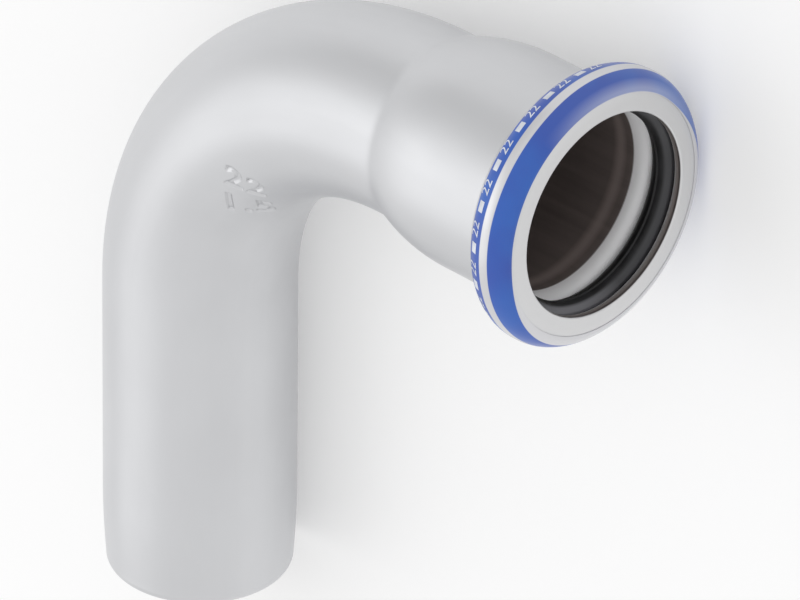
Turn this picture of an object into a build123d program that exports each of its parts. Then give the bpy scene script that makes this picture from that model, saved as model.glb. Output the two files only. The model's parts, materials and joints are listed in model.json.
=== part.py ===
"""Press-fit pipe bend: a quarter-turn steel bend with one plain end and one press socket.

The fitting lies on its side. +Y runs from the plain end towards the bend, +X from the
bend towards the socket's mouth and +Z up, with z = 0 at the surface that it lies on.
The origin is below the middle of the fitting.
"""
import os
from math import asin, atan2, cos, degrees, hypot, radians, sin, sqrt

from build123d import *

# Driving dimensions, in millimetres and degrees
tube_diameter = 22.0
wall = 1.5
bend_radius = 35.0
bend_flattening = 0.45
spigot_length = 37.3

end_draw_length = 10.4
end_draw_depth = 0.45
rim_fillet = 1.1
edge_round = 0.25

crease_offset = 2.0
crease_fillet = 4.0
swell_angle = 24.0

bead_position = 24.2
bead_radius = 3.0
bead_height = 3.2
bead_root_fillet = 1.0

# Radial gaps round a tube that is pushed into the socket
socket_clearance = 0.5
mouth_clearance = 1.0
seal_bore_clearance = 0.3

seal_clearance = 0.1
seal_nose_setback = 0.2
seal_tail_angle = 50.0

film_clearance = 0.05
film_thickness = 0.15
film_front_angle = 70.0
film_rear_angle = 75.0

# Radii about the tube's and the socket's own axes
tube_radius = tube_diameter / 2
socket_radius = tube_radius + socket_clearance + wall
mouth_radius = tube_radius + mouth_clearance
seal_bore_radius = tube_radius + seal_bore_clearance
seal_nose_radius = mouth_radius + seal_nose_setback
bead_centre_radius = socket_radius + bead_height - bead_radius
film_radius = bead_radius + film_clearance + film_thickness

# The fitting rests on the side of its straight leg and on the film over its bead,
# so the socket's axis rises by this angle.
bead_reach = bend_radius + bead_position
rest_tilt = degrees(
    atan2(bead_centre_radius, bead_reach)
    + asin((film_radius - tube_radius) / hypot(bead_reach, bead_centre_radius))
)
tilt_cos = cos(radians(rest_tilt))
tilt_sin = sin(radians(rest_tilt))

# Outermost points along X and Y, which centre the fitting on its origin
front_angle = radians(90 - film_front_angle)
front_reach = (bead_reach + film_radius * cos(front_angle)) * tilt_cos
front_reach += (bead_centre_radius + film_radius * sin(front_angle)) * tilt_sin
side_reach = bend_radius + bead_centre_radius + film_radius
leg_x = (tube_radius - front_reach) / 2
leg_y = (spigot_length - side_reach) / 2

# Centre plane of the fitting: its origin is where the leg meets the bend, local x points
# along the socket and local y along the leg.
centre_plane = Plane(
    origin=(leg_x, leg_y, tube_radius),
    x_dir=(tilt_cos, 0, tilt_sin),
    z_dir=(-tilt_sin, 0, tilt_cos),
)
leg_axis = Axis(centre_plane.origin, centre_plane.y_dir)

# The same plane at the bend's other end: local x is the depth along the socket and local y
# the radius from its axis.
socket_plane = Plane(
    origin=centre_plane.from_local_coords((bend_radius, bend_radius, 0)),
    x_dir=centre_plane.x_dir,
    z_dir=centre_plane.z_dir,
)
socket_axis = Axis(socket_plane.origin, socket_plane.x_dir)

# The bead's round crown and the hollow at its root, which meet tangent to each other
bead_centre = (bead_position, bead_centre_radius)
root_drop = bead_centre_radius - socket_radius - bead_root_fillet
root_centre = (
    bead_position - sqrt((bead_radius + bead_root_fillet) ** 2 - root_drop**2),
    socket_radius + bead_root_fillet,
)
root_angle = degrees(atan2(root_drop, bead_position - root_centre[0]))


def root_arc(inset, start=-90.0):
    """Hollow at the bead's rear root, this far below the socket's outer face."""
    return CenterArc(root_centre, bead_root_fillet + inset, start, root_angle - start)


def crown_arc(inset, start=180.0 + root_angle, end=0.0):
    """Round crown of the bead, this far below its outer face."""
    return CenterArc(bead_centre, bead_radius - inset, start, end - start)


with BuildLine(centre_plane) as turn:
    JernArc((0, 0), (0, 1), bend_radius, -90)
bend_path = turn.line


def bend_sections(radius):
    """Cross-sections round the bend, flattened on its inside towards the middle of the turn."""
    stations = 7
    sections = []
    for station in range(stations):
        place = station / (stations - 1)
        squeeze = bend_flattening * sin(place * radians(180)) ** 2 / 2
        tangent = bend_path % place
        outward = centre_plane.z_dir.cross(tangent)
        centre = bend_path @ place + outward * squeeze
        with BuildSketch(Plane(origin=centre, x_dir=centre_plane.z_dir, z_dir=tangent)) as ring:
            Ellipse(radius, radius - squeeze)
        sections.append(ring.sketch)
    return sections


# Bend body: one stainless tube, bent, with its socket and bead formed from the same wall
with BuildPart() as bend_body:
    sweep(bend_sections(tube_radius), bend_path, multisection=True)
    sweep(bend_sections(tube_radius - wall), bend_path, multisection=True, mode=Mode.SUBTRACT)

    # Straight leg, drawn in a little towards its rounded plain end
    with BuildSketch(centre_plane) as leg_wall:
        with BuildLine():
            skins = []
            for radius in (tube_radius, tube_radius - wall):
                side = Line((radius, 0), (radius, end_draw_length - spigot_length))
                end_point = (radius - end_draw_depth, -spigot_length)
                draw = TangentArc(side @ 1, end_point, tangent=(0, -1))
                skins.append((side @ 0, draw @ 1))
            Line(skins[0][0], skins[1][0])
            Line(skins[0][1], skins[1][1])
        make_face()
        rim = leg_wall.vertices().group_by(Axis.Y)[0].sort_by(Axis.X)
        fillet(rim[-1], rim_fillet)
    revolve(axis=leg_axis)

    # Socket: crease, swell, sleeve, bead and the flat front that turns in to the mouth
    with BuildSketch(socket_plane) as socket_wall:
        with BuildLine() as socket_skin:
            neck = Line((0, tube_radius), (crease_offset, tube_radius))
            swell_radius = (socket_radius - tube_radius) / (1 - cos(radians(swell_angle)))
            slope = (cos(radians(swell_angle)), sin(radians(swell_angle)))
            swell = JernArc(neck @ 1, slope, swell_radius, -swell_angle)
            root = root_arc(0)
            Line(swell @ 1, root @ 0)
            crown = crown_arc(0)
            Line(crown @ 1, (bead_position + bead_radius, mouth_radius))
            fillet(socket_skin.vertices().sort_by(Axis.X)[1], crease_fillet)
            offset(amount=wall, side=Side.RIGHT)
        make_face()
        lip = socket_wall.vertices().group_by(Axis.X)[-1].sort_by(Axis.Y)[0]
        fillet(lip, edge_round)
    revolve(axis=socket_axis)
bend_body.part.label = "bend_body"

# Seal ring: fills the inside of the bead and reaches into the bore, with a tail at its rear
with BuildPart() as seal_ring:
    with BuildSketch(socket_plane):
        with BuildLine():
            inset = wall + seal_clearance
            tail = root_arc(inset, start=-seal_tail_angle)
            crown = crown_arc(inset)
            crest = (bead_position, seal_bore_radius)
            nose = Line(crown @ 1, crown @ 1 - (0, bead_centre_radius - seal_nose_radius))
            TangentArc(crest, nose @ 1, tangent=(1, 0))
            TangentArc(crest, tail @ 0, tangent=(-1, 0))
        make_face()
    revolve(axis=socket_axis)
seal_ring.part.label = "seal_ring"

# Press indicator: thin plastic film shrunk over the bead
with BuildPart() as press_indicator:
    with BuildSketch(socket_plane):
        with BuildLine():
            rear = 90 + film_rear_angle
            front = 90 - film_front_angle
            under = crown_arc(-film_clearance, rear, front)
            over = crown_arc(-film_clearance - film_thickness, rear, front)
            Line(under @ 0, over @ 0)
            Line(under @ 1, over @ 1)
        make_face()
    revolve(axis=socket_axis)
press_indicator.part.label = "press_indicator"

os.makedirs("parts", exist_ok=True)
export_step(bend_body.part, "parts/bend_body.step")
export_step(seal_ring.part, "parts/seal_ring.step")
export_step(press_indicator.part, "parts/press_indicator.step")
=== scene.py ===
"""Builds the finished look of the press-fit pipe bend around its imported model.

Every surface of the fitting is a section drawn as (way along the tube, radius) and swept round
the tube's path by one Geometry Nodes tree. The path is a straight leg, a quarter turn and a
straight socket. All places and sizes are in metres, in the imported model's own frame.
"""
import json
from math import atan2, cos, hypot, pi, radians, sin, sqrt, tau

import bpy
from mathutils import Matrix, Vector


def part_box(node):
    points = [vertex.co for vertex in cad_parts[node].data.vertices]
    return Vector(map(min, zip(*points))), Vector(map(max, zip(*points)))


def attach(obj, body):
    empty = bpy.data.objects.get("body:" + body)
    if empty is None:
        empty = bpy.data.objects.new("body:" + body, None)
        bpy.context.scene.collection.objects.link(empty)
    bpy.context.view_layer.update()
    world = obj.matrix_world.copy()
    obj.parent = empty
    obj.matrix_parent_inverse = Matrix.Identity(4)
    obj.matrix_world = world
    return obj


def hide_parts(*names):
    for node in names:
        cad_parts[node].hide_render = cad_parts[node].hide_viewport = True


bl_info = {
    "name": "Pipe Bend",
    "version": (1, 0, 0),
    "blender": (4, 5, 0),
    "location": "View3D > Sidebar > Pipe Bend",
    "description": "Builds a press-fit pipe bend with its seal ring, printed film and stage",
    "category": "Add Mesh",
}

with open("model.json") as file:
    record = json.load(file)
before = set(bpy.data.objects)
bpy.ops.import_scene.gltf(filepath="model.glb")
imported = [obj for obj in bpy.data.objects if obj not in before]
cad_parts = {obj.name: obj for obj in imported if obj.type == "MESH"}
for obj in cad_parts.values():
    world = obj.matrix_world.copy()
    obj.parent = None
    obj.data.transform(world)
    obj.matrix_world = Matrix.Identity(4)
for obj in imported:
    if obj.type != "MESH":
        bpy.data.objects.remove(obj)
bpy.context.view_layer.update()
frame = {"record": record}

MM = 0.001
MOUNTS = {mount["name"]: mount for mount in frame["record"]["mounts"]}
SPIGOT = MOUNTS["spigot"]
SOCKET = MOUNTS["socket"]
BODY_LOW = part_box("bend_body")[0]

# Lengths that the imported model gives
TUBE_RADIUS = SPIGOT["dims"]["r_mm"] * MM
BORE_RADIUS = SOCKET["dims"]["r_mm"] * MM
LEG_X, LEG_Z = SPIGOT["pos_m"][0], SPIGOT["pos_m"][2]
STRAIGHT_LENGTH = SPIGOT["dims"]["length_mm"] * MM
BEND_START_Y = SPIGOT["pos_m"][1] + STRAIGHT_LENGTH / 2
BEND_RADIUS = SOCKET["pos_m"][1] - BEND_START_Y
REST_TILT = atan2(SOCKET["axis"][2], SOCKET["axis"][0])
BEND_START = (LEG_X, BEND_START_Y, LEG_Z)
TURN_LENGTH = BEND_RADIUS * pi / 2


# Settings

def length_prop(name, description, default):
    """A length, in metres."""
    return bpy.props.FloatProperty(
        name=name, description=description, default=default, unit="LENGTH")


def angle_prop(name, description, default):
    """An angle, in radians."""
    return bpy.props.FloatProperty(
        name=name, description=description, default=default, subtype="ANGLE")


def colour_prop(name, description, default):
    """The colour of a finish."""
    return bpy.props.FloatVectorProperty(
        name=name, description=description, default=default, subtype="COLOR", min=0, max=1)


class BendSizes(bpy.types.PropertyGroup):
    """Sizes of the fitting's pieces"""

    wall: length_prop("Wall", "Thickness of the steel", 1.5 * MM)
    spigot_length: length_prop(
        "Leg length", "From the plain end to the start of the turn", BEND_START_Y - BODY_LOW.y)
    flattening: length_prop("Flattening", "How far the inside of the turn is flattened", 0.45 * MM)
    end_draw: length_prop("End draw", "How far the plain end is drawn in", 0.45 * MM)
    rim_round: length_prop("Rim round", "Radius of the plain end's outer edge", 1.1 * MM)
    lip_round: length_prop("Lip round", "Radius of the mouth's edge", 0.25 * MM)
    crease_place: length_prop("Crease", "Depth at which the swell starts, past the turn", 2.0 * MM)
    crease_round: length_prop(
        "Crease round", "Radius of the hollow where the swell starts", 4.0 * MM)
    swell_angle: angle_prop("Swell angle", "Slope at which the swell leaves the tube", radians(24))
    bead_place: length_prop(
        "Bead place", "From the end of the turn to the middle of the bead", 24.2 * MM)
    bead_radius: length_prop("Bead radius", "Radius of the bead's round crown", 3.0 * MM)
    bead_height: length_prop("Bead height", "How far the bead stands out from the socket", 3.2 * MM)
    root_round: length_prop("Bead root", "Radius of the hollow behind the bead", 1.0 * MM)
    lip_back: length_prop(
        "Lip back", "Radius of the edge behind the mouth, facing the seal", 0.9 * MM)
    mouth_radius: length_prop("Mouth radius", "Radius of the opening at the front", 12.0 * MM)
    seal_clearance: length_prop("Seal clearance", "Gap between the seal and the steel", 0.1 * MM)
    seal_tail: angle_prop("Seal tail", "Angle behind the bead at which the seal ends", radians(30))
    seal_radius: length_prop("Seal radius", "Radius of the seal's innermost line", 11.3 * MM)
    seal_nose: length_prop("Seal nose", "Radius at which the seal ends in front", 12.2 * MM)
    ridge_height: length_prop("Mould line", "Height of the mould line round the seal", 0.10 * MM)
    ridge_width: length_prop("Mould line width", "Half the width of the mould line", 0.08 * MM)
    film_clearance: length_prop("Film clearance", "Gap between the film and the bead", 0.05 * MM)
    film_thickness: length_prop("Film thickness", "Thickness of the printed film", 0.14 * MM)
    film_front: angle_prop(
        "Film front", "Crown angle at which the film ends in front", radians(20))
    film_rear: angle_prop("Film rear", "Crown angle at which the film ends behind", radians(165))
    sectors: bpy.props.IntProperty(
        name="Sectors", description="Steps round the tube", default=232, min=24)


class StampSettings(bpy.types.PropertyGroup):
    """Plain numbers pressed into the steel"""

    size_text: bpy.props.StringProperty(
        name="Size number", description="Upper number pressed into the turn", default="22")
    wall_text: bpy.props.StringProperty(
        name="Wall number", description="Lower number pressed into the turn", default="1.5")
    height: length_prop("Height", "Type size of the pressed numbers", 4.9 * MM)
    spacing: bpy.props.FloatProperty(
        name="Spacing", description="How far apart the digits stand", default=1.15)
    path_place: length_prop("Place along the turn", "From the start of the turn", 31.3 * MM)
    angle_place: angle_prop(
        "Place round the tube", "Angle from the outside of the turn", radians(121))
    slant: angle_prop(
        "Slant", "How far the lines of numbers are turned from the tube's girth", radians(32))
    line_pitch: length_prop("Line pitch", "From the upper number to the lower one", 5.3 * MM)
    depth: length_prop("Depth", "How deep the numbers are pressed", 0.28 * MM)
    edge: length_prop("Edge", "Width of the pressed numbers' soft edge", 0.19 * MM)
    crowding: bpy.props.FloatProperty(
        name="Crowding", description="How much closer the steps round the tube are at the numbers",
        default=0.68, min=0, max=0.9)


class PrintSettings(bpy.types.PropertyGroup):
    """White marks printed on the film's rear band"""

    height: length_prop("Height", "Type size of the printed number", 1.9 * MM)
    count: bpy.props.IntProperty(
        name="Count", description="How often the number and its bar are printed", default=10, min=1)
    pitch: length_prop("Pitch", "From one number to the next", 4.9 * MM)
    bar_length: length_prop("Bar length", "Size of the bar along the band", 1.3 * MM)
    bar_width: length_prop("Bar width", "Size of the bar across the band", 0.85 * MM)
    bar_shift: length_prop("Bar shift", "From the number's middle line to the bar's", -0.1 * MM)
    start_angle: angle_prop(
        "Start angle", "Angle round the bead at which the first number starts", radians(150))
    crown_angle: angle_prop(
        "Crown angle", "Angle over the bead's crown of the marks' middle line", radians(110.5))
    lift: length_prop("Lift", "Thickness of the ink", 0.01 * MM)


class FinishColours(bpy.types.PropertyGroup):
    """Colours of the fitting's finishes"""

    steel: colour_prop("Steel", "Pickled stainless steel", (0.655, 0.66, 0.675))
    front: colour_prop("Front", "Bright formed steel at the mouth", (0.66, 0.66, 0.665))
    # Mouth: near-white steel behind the seal, painted light
    mouth: colour_prop("Mouth", "Bright formed steel behind the seal", (0.96, 0.96, 0.97))
    # Bore: dark brown painted shade inside the tube
    bore: colour_prop("Bore", "Scaled steel inside the tube", (0.20, 0.165, 0.155))
    rubber: colour_prop("Rubber", "Seal ring", (0.006, 0.006, 0.0065))
    film_blue: colour_prop("Film blue", "Printed bands of the film", (0.030, 0.125, 0.50))
    film_violet: colour_prop("Film violet", "Denser ink in parts of the bands", (0.034, 0.092, 0.43))
    film_clear: colour_prop("Clear film", "Film without ink over the steel", (0.65, 0.65, 0.67))
    # White ink, also the colour that the painted sheen on the front band fades to
    ink: colour_prop("White ink", "Marks on the film's rear band", (0.74, 0.77, 0.84))


class StageSettings(bpy.types.PropertyGroup):
    """Camera and floor"""

    azimuth: angle_prop("Azimuth", "Camera's direction, from +X towards +Y", radians(44.357))
    elevation: angle_prop("Elevation", "Camera's height over the floor", radians(41.298))
    roll: angle_prop(
        "Roll", "Turn of the picture round the camera's own line of sight", radians(-122.26))
    aim: bpy.props.FloatVectorProperty(
        name="Aim", description="Point that the camera looks at", subtype="TRANSLATION",
        default=(-2.3074 * MM, -3.6362 * MM, 4.7311 * MM), unit="LENGTH")
    distance: length_prop("Distance", "From the camera to its aim", 1.55463)
    lens: bpy.props.FloatProperty(
        name="Lens", description="Focal length in millimetres", default=627.94)
    floor_size: length_prop("Floor", "Side of the square floor", 12.0)


# Sections, drawn as (way along the path, radius) and counted in metres

class Step:
    """Distances between a section's points, smaller where its form is finer"""

    leg = 3.0 * MM
    drawn_end = 0.6 * MM
    turn = 1.3 * MM
    pressed_turn = 0.12 * MM
    inner_turn = 1.8 * MM
    crease = 0.22 * MM
    swell = 0.6 * MM
    sleeve = 0.9 * MM
    bead = 0.2 * MM
    rim = 0.1 * MM
    front = 0.15 * MM
    lip = 0.05 * MM
    lip_back = 0.1 * MM
    front_back = 0.3 * MM
    seal_groove = 0.14 * MM
    seal_bore = 0.07 * MM
    seal_nose = 0.1 * MM
    film = 0.12 * MM


def spread(start, end, step):
    """Evenly spaced values from start to end, both included."""
    count = max(1, round(abs(end - start) / step))
    return [start + (end - start) * i / count for i in range(count + 1)]


def arc(centre, radius, start, end, step):
    """Points on an arc from one angle to another, in radians."""
    count = max(6, round(abs(end - start) * radius / step))
    angles = [start + (end - start) * i / count for i in range(count + 1)]
    return [(centre[0] + radius * cos(a), centre[1] + radius * sin(a)) for a in angles]


def along(ways, radius):
    """Points at these ways along the tube, all at one radius."""
    return [(way, radius) for way in ways]


def across(way, radii):
    """Points at these radii, all at one way along the tube."""
    return [(way, radius) for radius in radii]


def bead_shape(sizes):
    """Centres of the bead's crown and of the hollow behind it, and the angle at which they meet."""
    sleeve = BORE_RADIUS + sizes.wall
    crown = (TURN_LENGTH + sizes.bead_place, sleeve + sizes.bead_height - sizes.bead_radius)
    drop = crown[1] - sleeve - sizes.root_round
    reach = sqrt((sizes.bead_radius + sizes.root_round) ** 2 - drop ** 2)
    root = (crown[0] - reach, sleeve + sizes.root_round)
    return crown, root, atan2(drop, reach)


def leg_points(sizes, radius):
    """The straight leg from its plain end, where it is drawn in a little."""
    points = []
    for way in spread(-sizes.spigot_length, -STRAIGHT_LENGTH, Step.drawn_end):
        share = (way + STRAIGHT_LENGTH) / (STRAIGHT_LENGTH - sizes.spigot_length)
        points.append((way, radius - sizes.end_draw * share ** 2))
    return points + along(spread(-STRAIGHT_LENGTH, 0, Step.leg), radius)


def turn_ways(stamp):
    """Ways round the turn, close together where numbers are pressed in."""
    if not stamp:
        return spread(0, TURN_LENGTH, Step.inner_turn)
    margin = 0.7 * stamp.height
    near = stamp.path_place - stamp.line_pitch - margin
    far = stamp.path_place + margin
    pressed = spread(near, far, Step.pressed_turn)
    return spread(0, near, Step.turn) + pressed + spread(far, TURN_LENGTH, Step.turn)


def swell_points(sizes, inset):
    """Crease and swell: a hollow arc that meets the tube, and a round one that meets the sleeve."""
    sleeve = BORE_RADIUS + sizes.wall
    swell_radius = (sleeve - TUBE_RADIUS) / (1 - cos(sizes.swell_angle))
    swell_way = TURN_LENGTH + sizes.crease_place + swell_radius * sin(sizes.swell_angle)
    swell_centre = (swell_way, sleeve - swell_radius)
    hollow_radius = TUBE_RADIUS + sizes.crease_round
    rise = hollow_radius - swell_centre[1]
    hollow_way = swell_way - sqrt((swell_radius + sizes.crease_round) ** 2 - rise ** 2)
    join = atan2(rise, hollow_way - swell_way)
    hollow = arc((hollow_way, hollow_radius), sizes.crease_round + inset, -pi / 2, join - pi,
                 Step.crease)
    return hollow + arc(swell_centre, swell_radius - inset, join, pi / 2, Step.swell)


def skin(sizes, inset, stamp=None):
    """One face of the formed tube, this far below its outer face, from plain end to front."""
    radius = TUBE_RADIUS - inset
    sleeve = BORE_RADIUS + sizes.wall - inset
    crown, root, meet = bead_shape(sizes)
    points = leg_points(sizes, radius) + along(turn_ways(stamp), radius)
    points += swell_points(sizes, inset)
    points += along(spread(points[-1][0], root[0], Step.sleeve), sleeve)
    points += arc(root, sizes.root_round + inset, -pi / 2, meet, Step.bead)
    points += arc(crown, sizes.bead_radius - inset, pi + meet, 0, Step.bead)
    return points


def without_doubles(points):
    """The same outline without points that lie on each other."""
    least = 0.01 * MM
    kept = [points[0]]
    for point in points[1:]:
        if hypot(point[0] - kept[-1][0], point[1] - kept[-1][1]) > least:
            kept.append(point)
    return kept


def body_section(sizes, stamp):
    """Closed outline of the steel: outer face, lip at the mouth, inner face and plain end.

    Returns the outline and the number of points on its outer side.
    """
    outer = skin(sizes, 0, stamp)
    inner = skin(sizes, sizes.wall)
    rim_way = sizes.rim_round - sizes.spigot_length
    shoulder = [point for point in outer if point[0] > rim_way]
    rim_centre = (rim_way, shoulder[0][1] - sizes.rim_round)
    rim = arc(rim_centre, sizes.rim_round, pi, pi / 2, Step.rim)
    front = outer[-1][0]
    lip_centre = (front - sizes.lip_round, sizes.mouth_radius + sizes.lip_round)
    face = across(front, spread(outer[-1][1], lip_centre[1], Step.front))
    lip = arc(lip_centre, sizes.lip_round, 0, -pi / 2, Step.lip)
    outer = without_doubles(rim + shoulder + face + lip)
    turned_in = inner[-1][0]
    back_centre = (turned_in + sizes.lip_back, sizes.mouth_radius + sizes.lip_back)
    back = arc(back_centre, sizes.lip_back, -pi / 2, -pi, Step.lip_back)
    back += across(turned_in, spread(back_centre[1], inner[-1][1], Step.front_back))
    inner = without_doubles(back + inner[::-1])
    return outer + inner, len(outer)


def seal_section(sizes):
    """Closed outline of the seal ring, with a fine mould line round its innermost edge."""
    crown, root, meet = bead_shape(sizes)
    inset = sizes.wall + sizes.seal_clearance
    tail = arc(root, sizes.root_round + inset, -sizes.seal_tail, meet, Step.seal_groove)
    groove = arc(crown, sizes.bead_radius - inset, pi + meet, 0, Step.seal_groove)
    crest = (crown[0], sizes.seal_radius)

    def flank(end):
        """Arc from the crest, where it runs along the bore, to this end."""
        reach, rise = end[0] - crest[0], end[1] - crest[1]
        radius = (reach ** 2 + rise ** 2) / (2 * rise)
        centre = (crest[0], crest[1] + radius)
        last = atan2(end[1] - centre[1], reach) % -tau
        return arc(centre, radius, -pi / 2, last, Step.seal_bore)

    nose = across(groove[-1][0], spread(groove[-1][1], sizes.seal_nose, Step.seal_nose))
    bore = flank(nose[-1])[::-1] + flank(tail[0])
    bore = [(way, radius - sizes.ridge_height / (1 + ((way - crest[0]) / sizes.ridge_width) ** 4))
            for way, radius in bore]
    outline = without_doubles(tail + groove + nose + bore)
    return outline[:-1] if outline[-1] == outline[0] else outline


def film_section(sizes):
    """Closed outline of the shrunk film over the bead, which clings to it at both edges."""
    crown, _, _ = bead_shape(sizes)
    cling = radians(9)
    edge_gap, edge_thickness = 0.2, 0.35

    def face(thickness):
        """One face of the film, from its rear edge to its front edge."""
        points = []
        for angle in spread(sizes.film_rear, sizes.film_front, Step.film / sizes.bead_radius):
            near = min(sizes.film_rear - angle, angle - sizes.film_front) / cling
            ease = sin(min(near, 1) * pi / 2)
            gap = sizes.film_clearance * (edge_gap + (1 - edge_gap) * ease)
            gap += thickness * (edge_thickness + (1 - edge_thickness) * ease)
            radius = sizes.bead_radius + gap
            points.append((crown[0] + radius * cos(angle), crown[1] + radius * sin(angle)))
        return points

    return face(sizes.film_thickness) + face(0)[::-1]


def section_object(name, outline, outer_count=None):
    """A loose line of points (way, radius, inner) for the sweep: inner is 1 past outer_count."""
    inner = [0 if outer_count is None or i < outer_count else 1 for i in range(len(outline))]
    mesh = bpy.data.meshes.new(name)
    mesh.from_pydata([(*point, flag) for point, flag in zip(outline, inner)], [], [])
    section = bpy.data.objects.new(name, mesh)
    bpy.context.scene.collection.objects.link(section)
    return section


# Nodes

def add_node(tree, kind, inputs=None, **settings_of_node):
    """Adds a node, sets it up and fills or links its inputs. Nodes are laid out in columns."""
    node = tree.nodes.new(kind)
    place = len(tree.nodes) - 1
    node.location = (240 * (place // 5), -190 * (place % 5))
    for name, value in settings_of_node.items():
        setattr(node, name, value)
    for key, value in (inputs or {}).items():
        if isinstance(value, bpy.types.NodeSocket):
            tree.links.new(value, node.inputs[key])
        else:
            node.inputs[key].default_value = value
    return node


def calculate(tree, operation, *values, clamp=False):
    """A Math node's result."""
    node = add_node(tree, "ShaderNodeMath", dict(enumerate(values)),
                    operation=operation, use_clamp=clamp)
    return node.outputs[0]


def plus(tree, first, second):
    """The sum of two values."""
    return calculate(tree, "ADD", first, second)


def minus(tree, first, second, clamp=False):
    """The difference of two values, kept between 0 and 1 where it is clamped."""
    return calculate(tree, "SUBTRACT", first, second, clamp=clamp)


def times(tree, first, second):
    """The product of two values."""
    return calculate(tree, "MULTIPLY", first, second)


def whole(tree, operation, *values):
    """An Integer Math node's result."""
    node = add_node(tree, "FunctionNodeIntegerMath", dict(enumerate(values)), operation=operation)
    return node.outputs[0]


def vector(tree, x, y, z):
    """A vector made from three values."""
    return add_node(tree, "ShaderNodeCombineXYZ", {0: x, 1: y, 2: z}).outputs[0]


def separated(tree, value):
    """The three values of a vector."""
    return add_node(tree, "ShaderNodeSeparateXYZ", {0: value}).outputs


def store(tree, geometry, name, kind, domain, value):
    """Stores a value on the mesh as a named attribute."""
    node = add_node(tree, "GeometryNodeStoreNamedAttribute",
                    {"Geometry": geometry, "Name": name}, data_type=kind, domain=domain)
    socket = [s for s in node.inputs if s.name == "Value" and s.enabled][0]
    tree.links.new(value, socket)
    return node.outputs[0]


def stored(tree, name, kind):
    """Reads a named attribute in a tree that changes the mesh."""
    return add_node(tree, "GeometryNodeInputNamedAttribute", {"Name": name},
                    data_type=kind).outputs[0]


# Node trees

def add_sockets(tree, inputs):
    """Names a tree's inputs, given as (name, socket type) pairs, and adds its one output."""
    for name, kind in inputs:
        tree.interface.new_socket(name, in_out="INPUT", socket_type=kind)
    tree.interface.new_socket("Geometry", in_out="OUTPUT", socket_type="NodeSocketGeometry")
    source = tree.nodes.new("NodeGroupInput").outputs
    target = tree.nodes.new("NodeGroupOutput").inputs
    return source, target


PATH_SOCKETS = [
    ("Bend Radius", "NodeSocketFloat"),
    ("Flattening", "NodeSocketFloat"),
    ("Bend Start", "NodeSocketVector"),
    ("Rest Tilt", "NodeSocketFloat"),
]


def path_group():
    """Group that places points given by way, radius and angle on the bent tube."""
    found = bpy.data.node_groups.get("Place On Tube")
    if found:
        return found
    tree = bpy.data.node_groups.new("Place On Tube", "GeometryNodeTree")
    source, target = add_sockets(tree, [
        ("Geometry", "NodeSocketGeometry"), ("Way", "NodeSocketFloat"),
        ("Radius", "NodeSocketFloat"), ("Angle", "NodeSocketFloat")] + PATH_SOCKETS)
    way, radius, bend = source["Way"], source["Radius"], source["Bend Radius"]
    turn = calculate(tree, "MAXIMUM", calculate(tree, "DIVIDE", way, bend), 0.0)
    turn = calculate(tree, "MINIMUM", turn, pi / 2)
    past = minus(tree, way, times(tree, turn, bend))
    sine, cosine = calculate(tree, "SINE", turn), calculate(tree, "COSINE", turn)
    wave = calculate(tree, "SINE", times(tree, turn, 2.0))
    squeeze = times(tree, times(tree, wave, wave), times(tree, source["Flattening"], 0.5))

    # Distance from the turn's centre, which the flattening brings down on the inside alone
    out = times(tree, minus(tree, radius, squeeze), calculate(tree, "COSINE", source["Angle"]))
    reach = plus(tree, plus(tree, bend, squeeze), out)
    x = plus(tree, minus(tree, bend, times(tree, cosine, reach)), times(tree, sine, past))
    y = plus(tree, times(tree, sine, reach), times(tree, cosine, past))
    z = times(tree, radius, calculate(tree, "SINE", source["Angle"]))
    placed = add_node(tree, "GeometryNodeSetPosition",
                      {"Geometry": source["Geometry"], "Position": vector(tree, x, y, z)})

    # The socket's side of the fitting rises from the floor
    turned = vector(tree, 0.0, times(tree, source["Rest Tilt"], -1.0), 0.0)
    moved = add_node(tree, "GeometryNodeTransform",
                     {"Geometry": placed.outputs[0], "Translation": source["Bend Start"],
                      "Rotation": turned})
    tree.links.new(moved.outputs[0], target["Geometry"])
    return tree


def add_path(tree, source, geometry, way, radius, angle):
    """Places geometry on the tube, with the path's sizes taken from the tree's own inputs."""
    inputs = {"Geometry": geometry, "Way": way, "Radius": radius, "Angle": angle}
    inputs.update({name: source[name] for name, _ in PATH_SOCKETS})
    node = tree.nodes.new("GeometryNodeGroup")
    node.node_tree = path_group()
    for name, value in inputs.items():
        tree.links.new(value, node.inputs[name])
    return node.outputs[0]


def end_tree(tree, geometry, source, target):
    """Makes the geometry real and gives it the material."""
    real = add_node(tree, "GeometryNodeRealizeInstances", {"Geometry": geometry})
    painted = add_node(tree, "GeometryNodeSetMaterial",
                       {"Geometry": real.outputs[0], "Material": source["Material"]})
    tree.links.new(painted.outputs[0], target["Geometry"])


def shaded(tree, geometry):
    """Smooth shading with sharp creases."""
    crease = radians(38)
    angle = add_node(tree, "GeometryNodeInputMeshEdgeAngle").outputs["Unsigned Angle"]
    smooth = add_node(tree, "GeometryNodeSetShadeSmooth",
                      {"Geometry": geometry, "Shade Smooth": True}, domain="FACE")
    is_sharp = add_node(tree, "FunctionNodeCompare", {0: angle, 1: crease},
                        data_type="FLOAT", operation="GREATER_THAN").outputs[0]
    return add_node(tree, "GeometryNodeSetShadeSmooth",
                    {"Geometry": smooth.outputs[0], "Selection": is_sharp,
                     "Shade Smooth": False}, domain="EDGE").outputs[0]


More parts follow.
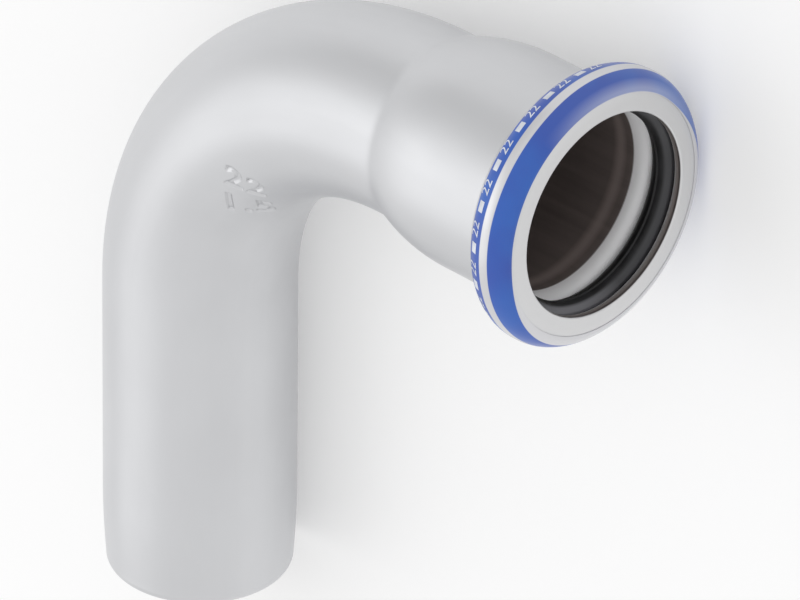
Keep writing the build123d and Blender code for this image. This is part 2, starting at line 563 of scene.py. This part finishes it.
def sweep_tree():
    """Tree that sweeps a section's points round the tube's path into a closed skin."""
    found = bpy.data.node_groups.get("Sweep Section")
    if found:
        return found
    tree = bpy.data.node_groups.new("Sweep Section", "GeometryNodeTree")
    source, target = add_sockets(tree, [
        ("Geometry", "NodeSocketGeometry"), ("Section", "NodeSocketObject"),
        ("Sectors", "NodeSocketInt"), ("Seam Angle", "NodeSocketFloat"),
        ("Crowding", "NodeSocketFloat"), ("Material", "NodeSocketMaterial")] + PATH_SOCKETS)
    section = add_node(tree, "GeometryNodeObjectInfo", {"Object": source["Section"]})
    section_points = section.outputs["Geometry"]
    size = add_node(tree, "GeometryNodeAttributeDomainSize", {0: section_points})
    count = size.outputs["Point Count"]
    rows = whole(tree, "ADD", source["Sectors"], 1)
    grid = add_node(tree, "GeometryNodeMeshGrid",
                    {"Vertices X": whole(tree, "ADD", count, 1), "Vertices Y": rows})

    # Each column of the grid is one point of the section, and each row one step round the tube
    index = add_node(tree, "GeometryNodeInputIndex").outputs[0]
    column = whole(tree, "MODULO", whole(tree, "DIVIDE_FLOOR", index, rows), count)
    share = calculate(tree, "DIVIDE", whole(tree, "MODULO", index, rows), source["Sectors"])
    sample = add_node(tree, "GeometryNodeSampleIndex",
                      {"Geometry": section_points,
                       "Value": add_node(tree, "GeometryNodeInputPosition").outputs[0],
                       "Index": column},
                      data_type="FLOAT_VECTOR", domain="POINT")
    way, radius, inner = separated(tree, sample.outputs[0])

    # Steps crowd together opposite the seam
    turn = times(tree, share, tau)
    crowd = times(tree, calculate(tree, "SINE", turn), source["Crowding"])
    angle = plus(tree, plus(tree, turn, crowd), source["Seam Angle"])
    straight = vector(tree, way, times(tree, radius, calculate(tree, "COSINE", angle)),
                      times(tree, radius, calculate(tree, "SINE", angle)))

    # The materials read where a point lies on the straight tube, and on which side of its wall
    skin_mesh = add_node(tree, "GeometryNodeFlipFaces", {"Mesh": grid.outputs["Mesh"]}).outputs[0]
    skin_mesh = store(tree, skin_mesh, "straight", "FLOAT_VECTOR", "POINT", straight)
    skin_mesh = store(tree, skin_mesh, "inner", "FLOAT", "POINT", inner)
    skin_mesh = store(tree, skin_mesh, "UVMap", "FLOAT2", "CORNER", vector(tree, way, share, 0.0))
    placed = add_path(tree, source, skin_mesh, way, radius, angle)
    closed = add_node(tree, "GeometryNodeMergeByDistance",
                      {"Geometry": placed, "Distance": 0.001 * MM})
    end_tree(tree, shaded(tree, closed.outputs[0]), source, target)
    return tree


def stamp_tree():
    """Tree that presses plain numbers into the outer face of a swept tube."""
    tree = bpy.data.node_groups.new("Press Numbers", "GeometryNodeTree")
    source, target = add_sockets(tree, [
        ("Geometry", "NodeSocketGeometry"), ("Text", "NodeSocketString"),
        ("Height", "NodeSocketFloat"), ("Spacing", "NodeSocketFloat"),
        ("Way", "NodeSocketFloat"), ("Angle", "NodeSocketFloat"), ("Turn", "NodeSocketFloat"),
        ("Tube Radius", "NodeSocketFloat"), ("Depth", "NodeSocketFloat"),
        ("Edge", "NodeSocketFloat"), ("Material", "NodeSocketMaterial")])
    letters = add_node(tree, "GeometryNodeStringToCurves",
                       {"String": source["Text"], "Size": source["Height"],
                        "Character Spacing": source["Spacing"]},
                       align_x="CENTER", align_y="MIDDLE")
    real = add_node(tree, "GeometryNodeRealizeInstances", {0: letters.outputs[0]})
    flat = add_node(tree, "GeometryNodeFillCurve", {0: real.outputs[0]})
    turned = add_node(tree, "GeometryNodeTransform",
                      {"Geometry": flat.outputs[0],
                       "Rotation": vector(tree, 0.0, 0.0, source["Turn"])})

    # Where a point would lie if the tube's face were unrolled round the number's middle
    straight = separated(tree, stored(tree, "straight", "FLOAT_VECTOR"))
    inner = stored(tree, "inner", "FLOAT")
    angle = calculate(tree, "ARCTAN2", straight[2], straight[1])
    around = times(tree, minus(tree, angle, source["Angle"]), source["Tube Radius"])
    unrolled = vector(tree, around, minus(tree, straight[0], source["Way"]), 0.0)
    near = add_node(tree, "GeometryNodeProximity",
                    {"Geometry": turned.outputs[0], "Sample Position": unrolled},
                    target_element="FACES").outputs["Distance"]
    press = add_node(tree, "ShaderNodeMapRange",
                     {"Value": near, "From Min": 0.0, "From Max": source["Edge"],
                      "To Min": 1.0, "To Max": 0.0},
                     interpolation_type="SMOOTHSTEP").outputs[0]
    outer = minus(tree, 1.0, inner, clamp=True)
    depth = times(tree, times(tree, press, outer), times(tree, source["Depth"], -1.0))
    normal = add_node(tree, "GeometryNodeInputNormal").outputs[0]
    offset = add_node(tree, "ShaderNodeVectorMath", {0: normal, "Scale": depth},
                      operation="SCALE").outputs[0]
    pressed = add_node(tree, "GeometryNodeSetPosition",
                       {"Geometry": source["Geometry"], "Offset": offset})
    end_tree(tree, pressed.outputs[0], source, target)
    return tree


def marks_tree():
    """Tree that repeats a plain number and a bar round the bead's film."""
    tree = bpy.data.node_groups.new("Printed Marks", "GeometryNodeTree")
    source, target = add_sockets(tree, [
        ("Geometry", "NodeSocketGeometry"), ("Text", "NodeSocketString"),
        ("Height", "NodeSocketFloat"), ("Count", "NodeSocketInt"), ("Pitch", "NodeSocketFloat"),
        ("Bar Length", "NodeSocketFloat"), ("Bar Width", "NodeSocketFloat"),
        ("Bar Shift", "NodeSocketFloat"), ("Start Angle", "NodeSocketFloat"),
        ("Crown Angle", "NodeSocketFloat"), ("Bead Way", "NodeSocketFloat"),
        ("Bead Radius", "NodeSocketFloat"), ("Face Radius", "NodeSocketFloat"),
        ("Material", "NodeSocketMaterial")] + PATH_SOCKETS)
    letters = add_node(tree, "GeometryNodeStringToCurves",
                       {"String": source["Text"], "Size": source["Height"]},
                       align_x="LEFT", align_y="MIDDLE")
    real = add_node(tree, "GeometryNodeRealizeInstances", {0: letters.outputs[0]})
    plain = add_node(tree, "GeometryNodeSetSplineResolution", {0: real.outputs[0], "Resolution": 4})
    numbers = add_node(tree, "GeometryNodeFillCurve", {0: plain.outputs[0]})
    bar = add_node(tree, "GeometryNodeMeshGrid",
                   {"Size X": source["Bar Length"], "Size Y": source["Bar Width"],
                    "Vertices X": 5, "Vertices Y": 3})
    bar_place = vector(tree, times(tree, source["Bar Length"], -1.0), source["Bar Shift"], 0.0)
    bar = add_node(tree, "GeometryNodeTransform",
                   {"Geometry": bar.outputs["Mesh"], "Translation": bar_place})
    group = add_node(tree, "GeometryNodeJoinGeometry")
    tree.links.new(numbers.outputs[0], group.inputs[0])
    tree.links.new(bar.outputs[0], group.inputs[0])
    fine = add_node(tree, "GeometryNodeSubdivideMesh", {0: group.outputs[0], "Level": 2})
    line = add_node(tree, "GeometryNodeMeshLine",
                    {"Count": source["Count"], "Offset": vector(tree, source["Pitch"], 0.0, 0.0)})
    copies = add_node(tree, "GeometryNodeInstanceOnPoints",
                      {"Points": line.outputs[0], "Instance": fine.outputs[0]})
    flat = add_node(tree, "GeometryNodeRealizeInstances", {0: copies.outputs[0]})

    # The flat row of marks is laid round the film: x along the band and y across its crown
    place = separated(tree, add_node(tree, "GeometryNodeInputPosition").outputs[0])
    face, bead_radius = source["Face Radius"], source["Bead Radius"]
    crown = plus(tree, source["Crown Angle"], calculate(tree, "DIVIDE", place[1], face))
    way = plus(tree, source["Bead Way"], times(tree, face, calculate(tree, "COSINE", crown)))
    radius = plus(tree, bead_radius, times(tree, face, calculate(tree, "SINE", crown)))
    around = calculate(tree, "DIVIDE", place[0], plus(tree, bead_radius, face))
    angle = minus(tree, source["Start Angle"], around)
    placed = add_path(tree, source, flat.outputs[0], way, radius, angle)
    end_tree(tree, shaded(tree, placed), source, target)
    return tree


def add_modifier(piece, tree, values):
    """Puts a tree on a piece and sets its inputs by their identifiers."""
    modifier = piece.modifiers.new(tree.name, "NODES")
    modifier.node_group = tree
    for socket in tree.interface.items_tree:
        if socket.in_out == "INPUT" and socket.name in values:
            modifier[socket.identifier] = values[socket.name]


def path_values(sizes):
    """The path's sizes, as inputs of a tree."""
    return {"Bend Radius": BEND_RADIUS, "Flattening": sizes.flattening,
            "Bend Start": BEND_START, "Rest Tilt": REST_TILT}


def sweep_values(sizes, section, material, seam=0.0, crowding=0.0):
    """Inputs of the tree that sweeps a section."""
    return {**path_values(sizes), "Section": section, "Sectors": sizes.sectors,
            "Seam Angle": seam, "Crowding": crowding, "Material": material}


def grown(name, modifiers, helpers=(), replaces=None):
    """A plain mesh piece from what the given trees make, tied to the frame."""
    carrier = bpy.data.objects.new(name + "_nodes", bpy.data.meshes.new(name + "_nodes"))
    bpy.context.scene.collection.objects.link(carrier)
    for tree, values in modifiers:
        add_modifier(carrier, tree, values)
    graph = bpy.context.evaluated_depsgraph_get()
    mesh = bpy.data.meshes.new_from_object(carrier.evaluated_get(graph), depsgraph=graph)
    mesh.name = name
    piece = bpy.data.objects.new(name, mesh)
    bpy.context.scene.collection.objects.link(piece)
    for helper in (carrier, *helpers):
        data = helper.data
        bpy.data.objects.remove(helper)
        bpy.data.meshes.remove(data)
    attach(piece, "root")
    if replaces:
        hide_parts(replaces)


# Finishes

def new_material(name):
    """An empty node material with its Principled shader and the tree that holds it."""
    material = bpy.data.materials.new(name)
    material.use_nodes = True
    tree = material.node_tree
    return material, tree, tree.nodes["Principled BSDF"]


def link(tree, value, shader, name):
    """Links a value to one of the shader's sockets."""
    tree.links.new(value, shader.inputs[name])


def attribute(tree, name, output="Vector"):
    """Reads an attribute that the sweep stored on the mesh."""
    return add_node(tree, "ShaderNodeAttribute", attribute_name=name).outputs[output]


def distance_from_axis(tree, straight):
    """Distance from the tube's own axis, read from the stored straight place."""
    parts = separated(tree, straight)
    flat = vector(tree, 0.0, parts[1], parts[2])
    return add_node(tree, "ShaderNodeVectorMath", {0: flat}, operation="LENGTH").outputs["Value"]


def facing(tree, straight, angle):
    """1 on the side of the tube at this angle, 0 a quarter turn away and -1 opposite."""
    side = add_node(tree, "ShaderNodeVectorMath",
                    {0: straight, 1: (0.0, cos(angle), sin(angle))}, operation="DOT_PRODUCT")
    return calculate(tree, "DIVIDE", side.outputs["Value"], distance_from_axis(tree, straight))


def noise(tree, coordinates, scale, stretch=(1, 1, 1), detail=3.0):
    """Noise on stretched coordinates."""
    placed = add_node(tree, "ShaderNodeMapping", {0: coordinates, "Scale": stretch})
    return add_node(tree, "ShaderNodeTexNoise",
                    {"Vector": placed.outputs[0], "Scale": scale,
                     "Detail": detail}).outputs["Fac"]


def ranged(tree, value, low, high, from_low=0.3, from_high=0.7):
    """Maps a value from one range to another. The usual range is that of noise."""
    return add_node(tree, "ShaderNodeMapRange",
                    {"Value": value, "From Min": from_low, "From Max": from_high,
                     "To Min": low, "To Max": high}).outputs[0]


def rising(tree, value, start, end):
    """0 before the start, 1 past the end."""
    return ranged(tree, value, 0.0, 1.0, start, end)


def falling(tree, value, start, end):
    """1 before the start, 0 past the end."""
    return ranged(tree, value, 1.0, 0.0, start, end)


def blended(tree, share, first, second):
    """Mixes two colours."""
    mix = add_node(tree, "ShaderNodeMix", data_type="RGBA")
    for place, value in ((0, share), (6, first), (7, second)):
        if isinstance(value, bpy.types.NodeSocket):
            tree.links.new(value, mix.inputs[place])
        else:
            mix.inputs[place].default_value = (*value, 1) if place else value
    return mix.outputs[2]


def shade(colour, share):
    """A colour that is this many times as light."""
    return tuple(share * part for part in colour)


def bumped(tree, shader, height, strength, distance):
    """Gives the shader a fine relief."""
    bump = add_node(tree, "ShaderNodeBump",
                    {"Height": height, "Strength": strength, "Distance": distance})
    link(tree, bump.outputs[0], shader, "Normal")


def bore_zones(tree, sizes, way, inner):
    """Bore darkened as painted shade, the formed mouth past it lightened as painted light, and a
    ring of painted light in the bore.
    """
    _, root, _ = bead_shape(sizes)
    edge = root[0] + 0.22 * MM
    # The inside of the tube past the bead's root gets painted shade
    bore = times(tree, falling(tree, way, edge - 0.1 * MM, edge + 0.1 * MM), inner)
    mouth = minus(tree, inner, bore, clamp=True)
    # A ring of painted light a little way inside the bore
    rubbed = times(tree, rising(tree, way, edge - 3.0 * MM, edge - 2.1 * MM),
                   falling(tree, way, edge - 1.7 * MM, edge - 0.9 * MM))
    return bore, mouth, rubbed


def lip_zone(tree, sizes, way, radius):
    """The lip's inner edge, behind the front's own bright edge, where shade is painted."""
    crown, _, _ = bead_shape(sizes)
    front = crown[0] + sizes.bead_radius
    inside = falling(tree, radius, sizes.mouth_radius, sizes.mouth_radius + 0.2 * MM)
    inside = times(tree, inside, falling(tree, way, front - 0.25 * MM, front - 0.12 * MM))
    return times(tree, inside, rising(tree, way, crown[0], crown[0] + MM))


def steel_material(colours, sizes):
    """Pickled stainless steel: satin outside, with painted light at the mouth and painted shade
    inside the tube.
    """
    material, tree, shader = new_material("pickled_steel")
    straight = attribute(tree, "straight")
    inner = attribute(tree, "inner", "Fac")
    way = separated(tree, straight)[0]
    radius = distance_from_axis(tree, straight)
    cloud = noise(tree, straight, 90.0, (0.5, 1, 1), 4.0)
    grain = noise(tree, straight, 5200.0, (0.35, 1, 1))
    draw = noise(tree, straight, 900.0, (0.03, 1, 1))

    bore, mouth, rubbed = bore_zones(tree, sizes, way, inner)
    lip = lip_zone(tree, sizes, way, radius)
    crown, _, _ = bead_shape(sizes)
    face = rising(tree, way, crown[0] + 0.90 * sizes.bead_radius,
                  crown[0] + 0.98 * sizes.bead_radius)

    # The steel outside, the turned front, painted light on the mouth behind the seal, and painted
    # shade on the lip's inner edge
    formed = blended(tree, rising(tree, cloud, 0.3, 0.7), tuple(colours.steel),
                     shade(colours.steel, 0.95))
    formed = blended(tree, face, formed, tuple(colours.front))
    formed = blended(tree, mouth, formed, tuple(colours.mouth))
    # Painted shade on the lip's inner edge, in the bore's colour
    formed = blended(tree, times(tree, lip, 0.9), formed, tuple(colours.bore))

    # Painted shade in the bore, with draw marks, and a ring of painted light
    scale = blended(tree, rising(tree, draw, 0.3, 0.7), tuple(colours.bore),
                    shade(colours.bore, 0.8))
    scale = blended(tree, times(tree, rubbed, 0.55), scale, shade(colours.bore, 2.2))
    link(tree, blended(tree, bore, formed, scale), shader, "Base Color")

    rough = plus(tree, ranged(tree, cloud, 0.38, 0.44), ranged(tree, draw, -0.015, 0.02))
    rough = minus(tree, rough, times(tree, face, 0.06))
    link(tree, plus(tree, rough, times(tree, bore, 0.1)), shader, "Roughness")
    # The bore and the mouth are made less metallic, so that their painted shade and painted light
    # show
    dull = plus(tree, times(tree, bore, 0.7), times(tree, mouth, 0.85))
    link(tree, minus(tree, 1.0, dull), shader, "Metallic")

    # Grain and draw marks, and faint turned lines round the mouth on the front
    rings = times(tree, noise(tree, vector(tree, radius, 0.0, 0.0), 2600.0, detail=2.0), face)
    height = plus(tree, plus(tree, times(tree, grain, 0.5), draw), times(tree, rings, 6.0))
    bumped(tree, shader, height, 0.12, 0.02 * MM)
    return material


def rubber_material(colours, sizes):
    """Black moulded rubber with a faint bloom, and painted sheen: lighter at the nose and most of
    all low down.
    """
    material, tree, shader = new_material("seal_rubber")
    straight = attribute(tree, "straight")
    crown, _, _ = bead_shape(sizes)
    way = separated(tree, straight)[0]
    bloom = noise(tree, straight, 400.0, detail=4.0)
    skin_grain = noise(tree, straight, 6000.0, detail=2.0)
    # Painted sheen at the seal's nose and low down
    nose = rising(tree, way, crown[0] + 0.7 * MM, crown[0] + 1.0 * MM)
    low_down = rising(tree, facing(tree, straight, radians(160)), 0.75, 1.0)
    dusty = blended(tree, rising(tree, bloom, 0.3, 0.7), tuple(colours.rubber),
                    shade(colours.rubber, 3.0))
    dusty = blended(tree, nose, dusty, shade(colours.rubber, 9.0))
    dusty = blended(tree, times(tree, low_down, nose), dusty, shade(colours.rubber, 28.0))
    link(tree, dusty, shader, "Base Color")
    link(tree, ranged(tree, bloom, 0.34, 0.48), shader, "Roughness")
    shader.inputs["Specular IOR Level"].default_value = 0.32
    bumped(tree, shader, skin_grain, 0.2, 0.02 * MM)
    return material


def printed_bands(tree, sizes, straight):
    """The two printed bands, and a painted sheen that pales the front one, by the angle over the
    crown.
    """
    front_band, rear_band = (21, 72), (91, 126)
    crown, _, _ = bead_shape(sizes)
    rise = minus(tree, distance_from_axis(tree, straight), crown[1])
    reach = minus(tree, separated(tree, straight)[0], crown[0])

    # The print wanders a little round the ring
    wander = noise(tree, straight, 60.0, (0, 1, 1), 1.0)
    angle = plus(tree, calculate(tree, "ARCTAN2", rise, reach),
                 ranged(tree, wander, -0.02, 0.02))

    # Over the inside of the turn the front band starts further back
    slip = add_node(tree, "ShaderNodeMapRange",
                    {"Value": facing(tree, straight, radians(203)), "From Min": -0.4,
                     "From Max": 1.0, "To Min": 0.0, "To Max": radians(30)},
                    interpolation_type="SMOOTHSTEP").outputs[0]

    def band(place, low, high, soft=radians(0.7)):
        """1 between two crown angles, with soft edges."""
        return times(tree, rising(tree, place, radians(low) - soft, radians(low) + soft),
                     falling(tree, angle, radians(high) - soft, radians(high) + soft))

    printed = calculate(tree, "ADD", band(minus(tree, angle, slip), *front_band),
                        band(angle, *rear_band), clamp=True)

    # Painted sheen: over the outside of the turn the front band pales towards the mouth
    thin = times(tree, ranged(tree, angle, 0.40, 0.04, radians(28), radians(50)),
                 rising(tree, facing(tree, straight, radians(-20)), 0.55, 1.0))
    return printed, thin


def film_material(colours, sizes):
    """Clear glossy film with two printed bands round the bead."""
    material, tree, shader = new_material("printed_film")
    straight = attribute(tree, "straight")
    printed, thin = printed_bands(tree, sizes, straight)
    patch = noise(tree, straight, 110.0, detail=2.0)
    blue = blended(tree, rising(tree, patch, 0.42, 0.62),
                   tuple(colours.film_blue), tuple(colours.film_violet))
    blue = blended(tree, thin, blue, tuple(colours.ink))
    link(tree, blended(tree, printed, tuple(colours.film_clear), blue), shader, "Base Color")
    link(tree, ranged(tree, printed, 0.85, 0.0, 0.0, 1.0), shader, "Metallic")
    smear = noise(tree, straight, 300.0)
    link(tree, ranged(tree, smear, 0.30, 0.40), shader, "Roughness")
    shader.inputs["Specular IOR Level"].default_value = 0.3
    shader.inputs["Coat Weight"].default_value = 0.25
    shader.inputs["Coat Roughness"].default_value = 0.15
    bumped(tree, shader, smear, 0.25, 0.05 * MM)
    return material


def ink_material(colours):
    """Thin white ink, a little uneven."""
    material, tree, shader = new_material("white_ink")
    place = add_node(tree, "ShaderNodeTexCoord").outputs["Object"]
    uneven = noise(tree, place, 900.0)
    ink = blended(tree, rising(tree, uneven, 0.3, 0.7), tuple(colours.ink),
                  shade(colours.ink, 0.82))
    link(tree, ink, shader, "Base Color")
    link(tree, ranged(tree, uneven, 0.3, 0.45), shader, "Roughness")
    return material


# Pieces

class PIPEBEND_OT_bend_body(bpy.types.Operator):
    """Build the one-piece steel bend with its socket, bead and pressed numbers"""

    bl_idname = "pipe_bend.bend_body"
    bl_label = "Bend body"

    def execute(self, context):
        scene = context.scene
        sizes, stamp = scene.bend_sizes, scene.bend_stamp
        section = section_object("body_section", *body_section(sizes, stamp))
        steel = steel_material(scene.bend_colours, sizes)
        around_below = stamp.line_pitch * sin(stamp.slant) / TUBE_RADIUS
        along_below = -stamp.line_pitch * cos(stamp.slant)
        seam = stamp.angle_place + around_below / 2 - pi
        modifiers = [(sweep_tree(), sweep_values(sizes, section, steel, seam, stamp.crowding))]
        press = stamp_tree()
        for text, around, along_turn in (
                (stamp.size_text, 0, 0), (stamp.wall_text, around_below, along_below)):
            modifiers.append((press, {
                "Text": text, "Height": stamp.height, "Spacing": stamp.spacing,
                "Way": stamp.path_place + along_turn, "Angle": stamp.angle_place + around,
                "Turn": stamp.slant, "Tube Radius": TUBE_RADIUS, "Depth": stamp.depth,
                "Edge": stamp.edge, "Material": steel}))
        grown("formed_steel_bend", modifiers, [section], "bend_body")
        return {"FINISHED"}


class PIPEBEND_OT_seal_ring(bpy.types.Operator):
    """Build the seal ring inside the bead"""

    bl_idname = "pipe_bend.seal_ring"
    bl_label = "Seal ring"

    def execute(self, context):
        sizes = context.scene.bend_sizes
        section = section_object("seal_section", seal_section(sizes))
        rubber = rubber_material(context.scene.bend_colours, sizes)
        grown("rubber_seal", [(sweep_tree(), sweep_values(sizes, section, rubber))],
              [section], "seal_ring")
        return {"FINISHED"}


class PIPEBEND_OT_press_indicator(bpy.types.Operator):
    """Build the printed film over the bead"""

    bl_idname = "pipe_bend.press_indicator"
    bl_label = "Press indicator"

    def execute(self, context):
        sizes = context.scene.bend_sizes
        section = section_object("film_section", film_section(sizes))
        film = film_material(context.scene.bend_colours, sizes)
        grown("indicator_ring", [(sweep_tree(), sweep_values(sizes, section, film))],
              [section], "press_indicator")
        return {"FINISHED"}


class PIPEBEND_OT_film_marks(bpy.types.Operator):
    """Build the white marks on the film's rear band"""

    bl_idname = "pipe_bend.film_marks"
    bl_label = "Film marks"

    def execute(self, context):
        scene = context.scene
        sizes, marks = scene.bend_sizes, scene.bend_print
        crown, _, _ = bead_shape(sizes)
        face = sizes.bead_radius + sizes.film_clearance + sizes.film_thickness
        laid = {
            **path_values(sizes), "Text": scene.bend_stamp.size_text, "Height": marks.height,
            "Count": marks.count, "Pitch": marks.pitch, "Bar Length": marks.bar_length,
            "Bar Width": marks.bar_width, "Bar Shift": marks.bar_shift,
            "Start Angle": marks.start_angle, "Crown Angle": marks.crown_angle,
            "Bead Way": crown[0], "Bead Radius": crown[1], "Face Radius": face + marks.lift,
            "Material": ink_material(scene.bend_colours)}
        grown("film_marks", [(marks_tree(), laid)])
        return {"FINISHED"}


class PIPEBEND_OT_stage(bpy.types.Operator):
    """Build the floor, the soft lights and the camera"""

    bl_idname = "pipe_bend.stage"
    bl_label = "Stage"

    def execute(self, context):
        scene = context.scene
        add_floor(scene, scene.bend_stage.floor_size / 2)
        add_world(scene)
        add_camera(scene, scene.bend_stage)
        add_lamps(scene)
        scene.view_settings.view_transform = "Standard"
        return {"FINISHED"}


# Stage

def floor_material():
    """Pale floor that keeps the object's shadow and is a little lifted towards white."""
    material, tree, shader = new_material("pale_floor")
    shader.inputs["Roughness"].default_value = 0.9
    shader.inputs["Specular IOR Level"].default_value = 0.1
    place = add_node(tree, "ShaderNodeTexCoord").outputs["Object"]
    faint = noise(tree, place, 30.0, detail=2.0)
    link(tree, blended(tree, faint, (0.70, 0.70, 0.70), (0.71, 0.71, 0.71)), shader, "Base Color")
    rays = add_node(tree, "ShaderNodeLightPath").outputs
    mirrored = calculate(tree, "MAXIMUM", rays["Is Glossy Ray"], rays["Is Transmission Ray"])
    seen = calculate(tree, "MAXIMUM", rays["Is Camera Ray"], mirrored)
    shader.inputs["Emission Color"].default_value = (1, 1, 1, 1)
    link(tree, times(tree, seen, 0.27), shader, "Emission Strength")
    return material


def add_floor(scene, half):
    """Square floor under the origin, with half its side given."""
    mesh = bpy.data.meshes.new("floor")
    corners = [(-half, -half, 0), (half, -half, 0), (half, half, 0), (-half, half, 0)]
    mesh.from_pydata(corners, [], [(0, 1, 2, 3)])
    mesh.materials.append(floor_material())
    floor = bpy.data.objects.new("floor", mesh)
    scene.collection.objects.link(floor)


def add_world(scene):
    """Pale surroundings, a little darker on the far side, low down."""
    pale, darker = 0.92, 0.66
    far_side = (-0.64, 0.77, 0.02)
    world = bpy.data.worlds.new("studio")
    scene.world = world
    world.use_nodes = True
    tree = world.node_tree
    direction = add_node(tree, "ShaderNodeTexCoord").outputs["Generated"]
    toward = add_node(tree, "ShaderNodeVectorMath", {0: direction, 1: far_side},
                      operation="DOT_PRODUCT").outputs["Value"]
    background = tree.nodes["Background"]
    background.inputs["Color"].default_value = (1, 1, 1, 1)
    link(tree, ranged(tree, toward, pale, darker, 0.78, 1.0), background, "Strength")


def view_frame(azimuth, elevation):
    """Directions towards the camera, to its right and up, for a camera with no roll."""
    back = Vector((cos(azimuth) * cos(elevation), sin(azimuth) * cos(elevation), sin(elevation)))
    right = Vector((0, 0, 1)).cross(back).normalized()
    return back, right, back.cross(right)


def add_camera(scene, stage):
    """Camera at the photograph's viewing angle, rolled so that the leg points down."""
    back, right, up = view_frame(stage.azimuth, stage.elevation)
    turned_up = up * cos(stage.roll) - right * sin(stage.roll)
    turned_right = right * cos(stage.roll) + up * sin(stage.roll)
    camera = bpy.data.objects.new("camera", bpy.data.cameras.new("camera"))
    place = Vector(stage.aim) + back * stage.distance
    rotation = Matrix((turned_right, turned_up, back)).transposed().to_4x4()
    camera.matrix_world = Matrix.Translation(place) @ rotation
    camera.data.lens = stage.lens
    camera.data.clip_start = 0.05
    scene.collection.objects.link(camera)
    scene.camera = camera


def add_lamps(scene):
    """Large soft lamps, each given by its name, place, size and power in watts."""
    for name, place, size, power in (
            ("key", (-0.95, -0.17, 1.15), 1.5, 2.8),
            ("side", (-0.84, 0.39, 1.18), 0.9, 0.7)):
        lamp = bpy.data.objects.new(name, bpy.data.lights.new(name, "AREA"))
        lamp.data.size = size
        lamp.data.energy = power
        lamp.location = place
        lamp.rotation_euler = Vector(place).to_track_quat("Z", "Y").to_euler()
        scene.collection.objects.link(lamp)


class PIPEBEND_PT_panel(bpy.types.Panel):
    """Sizes, colours and build buttons of the pipe bend"""

    bl_idname = "PIPEBEND_PT_panel"
    bl_label = "Pipe Bend"
    bl_space_type = "VIEW_3D"
    bl_region_type = "UI"
    bl_category = "Pipe Bend"

    def draw(self, context):
        layout = self.layout
        for group_name in GROUPS:
            group = getattr(context.scene, group_name)
            box = layout.box()
            for name in group.bl_rna.properties.keys():
                if name not in ("rna_type", "name"):
                    box.prop(group, name)
        for operator in OPERATORS:
            layout.operator(operator.bl_idname)


GROUPS = {
    "bend_sizes": BendSizes,
    "bend_stamp": StampSettings,
    "bend_print": PrintSettings,
    "bend_colours": FinishColours,
    "bend_stage": StageSettings,
}
OPERATORS = (
    PIPEBEND_OT_bend_body,
    PIPEBEND_OT_seal_ring,
    PIPEBEND_OT_press_indicator,
    PIPEBEND_OT_film_marks,
    PIPEBEND_OT_stage,
)


def register():
    for name, group in GROUPS.items():
        bpy.utils.register_class(group)
        setattr(bpy.types.Scene, name, bpy.props.PointerProperty(type=group))
    for kind in (*OPERATORS, PIPEBEND_PT_panel):
        bpy.utils.register_class(kind)


def unregister():
    for kind in reversed((*OPERATORS, PIPEBEND_PT_panel)):
        bpy.utils.unregister_class(kind)
    for name, group in GROUPS.items():
        delattr(bpy.types.Scene, name)
        bpy.utils.unregister_class(group)


def main():
    """Builds every piece and the stage."""
    register()
    bpy.ops.pipe_bend.bend_body()
    bpy.ops.pipe_bend.seal_ring()
    bpy.ops.pipe_bend.press_indicator()
    bpy.ops.pipe_bend.film_marks()
    bpy.ops.pipe_bend.stage()


if __name__ == "__main__":
    main()
